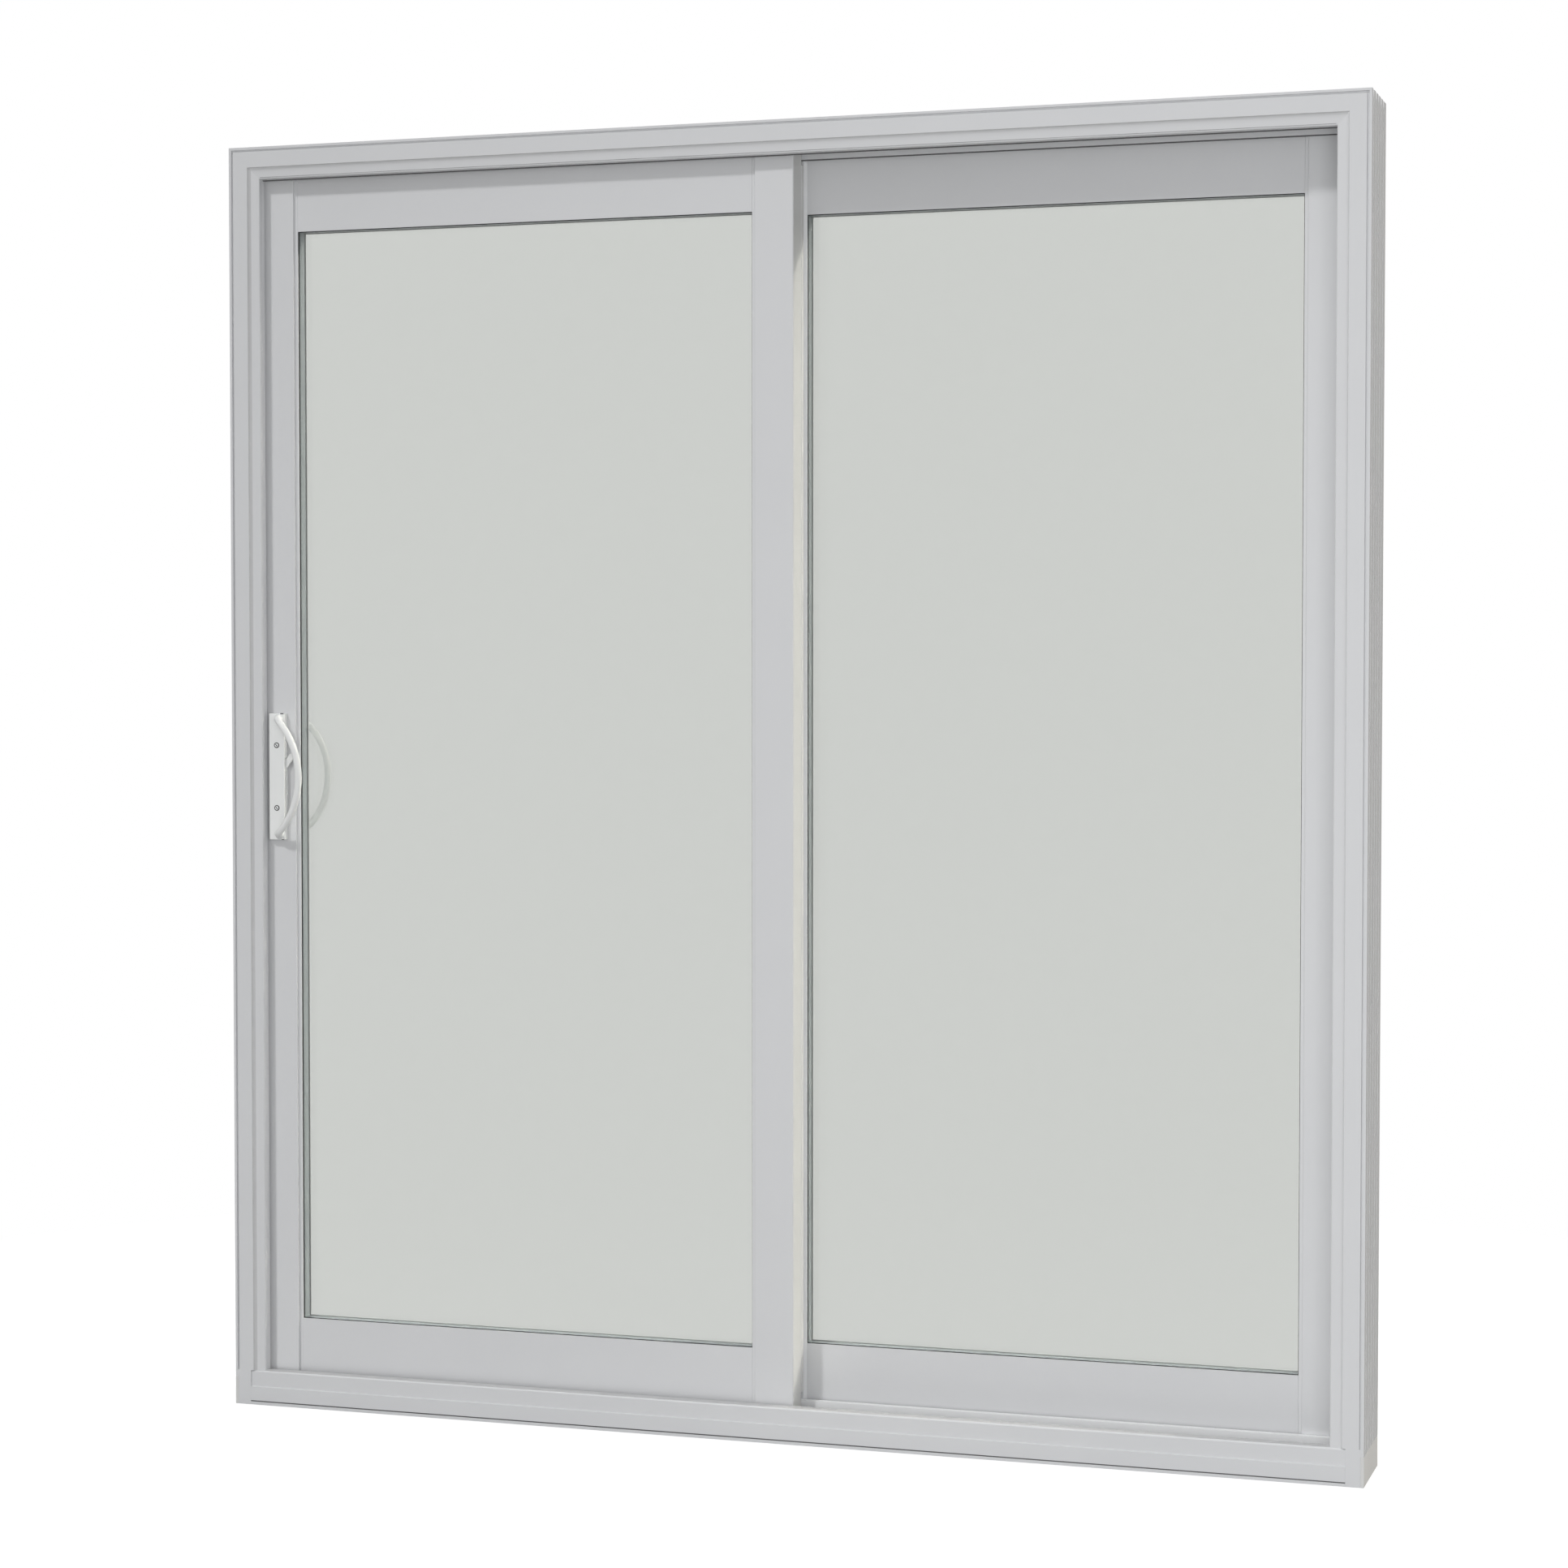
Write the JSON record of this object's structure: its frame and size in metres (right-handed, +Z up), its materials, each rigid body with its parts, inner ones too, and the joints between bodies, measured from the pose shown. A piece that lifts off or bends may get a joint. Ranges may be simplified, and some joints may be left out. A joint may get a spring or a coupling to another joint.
{
  "type": "sliding patio door",
  "caption": "White vinyl sliding patio door: a sliding and a fixed glazed panel in a stepped frame, with arched pulls and a thumb lever.",
  "frame": {"origin": "centre of the sill's underside", "axes": "+X along the door to the right as seen from the room, +Y from the room to the outside, +Z up"},
  "size_m": [1.816, 0.1584, 2.019],
  "materials": {
    "white_vinyl": "satin",
    "cap_plastic": "matte",
    "white_enamel": "gloss",
    "clear_glass": "clear",
    "black_rubber": "matte",
    "black_pile": "matte",
    "grey_spacer": "satin",
    "rail_aluminium": "satin",
    "bright_steel": "satin",
    "roller_nylon": "matte"
  },
  "bodies": {
    "frame": {"left_jamb": "white_vinyl", "right_jamb": "white_vinyl", "head": "white_vinyl", "sill": "white_vinyl", "left_sill_cap": "cap_plastic", "right_sill_cap": "cap_plastic", "head_pile": "black_pile", "fixed_head_seal": "black_pile", "fixed_sill_seal": "black_pile", "roller_rail": "rail_aluminium", "lock_keeper": "bright_steel", "fixed_meeting_stile": "white_vinyl", "fixed_jamb_stile": "white_vinyl", "fixed_top_rail": "white_vinyl", "fixed_bottom_rail": "white_vinyl", "fixed_inner_pane": "clear_glass", "fixed_outer_pane": "clear_glass", "fixed_spacer": "grey_spacer", "fixed_inner_gasket": "black_rubber", "fixed_outer_gasket": "black_rubber"},
    "sliding_panel": {"slider_lock_stile": "white_vinyl", "slider_meeting_stile": "white_vinyl", "slider_top_rail": "white_vinyl", "slider_bottom_rail": "white_vinyl", "slider_inner_pane": "clear_glass", "slider_outer_pane": "clear_glass", "slider_spacer": "grey_spacer", "slider_inner_gasket": "black_rubber", "slider_outer_gasket": "black_rubber", "slider_interlock_fin": "white_vinyl", "lock_faceplate": "bright_steel", "left_roller": "roller_nylon", "right_roller": "roller_nylon", "inner_handle_plate": "white_enamel", "inner_pull": "white_enamel", "inner_handle_screws": "bright_steel", "outer_handle_plate": "white_enamel", "outer_pull": "white_enamel"},
    "thumb_lever": {"thumb_lever": "white_enamel"}
  },
  "joints": [
    {"name": "panel_slide", "type": "slide", "parent": "frame", "child": "sliding_panel", "axis": [1, 0, 0], "range_m": [0, 0.7]},
    {"name": "lever_turn", "type": "hinge", "parent": "sliding_panel", "child": "thumb_lever", "pos_m": [-0.837, -0.05, 1.015], "axis": [0, 1, 0], "range_deg": [0, 110]}
  ]
}
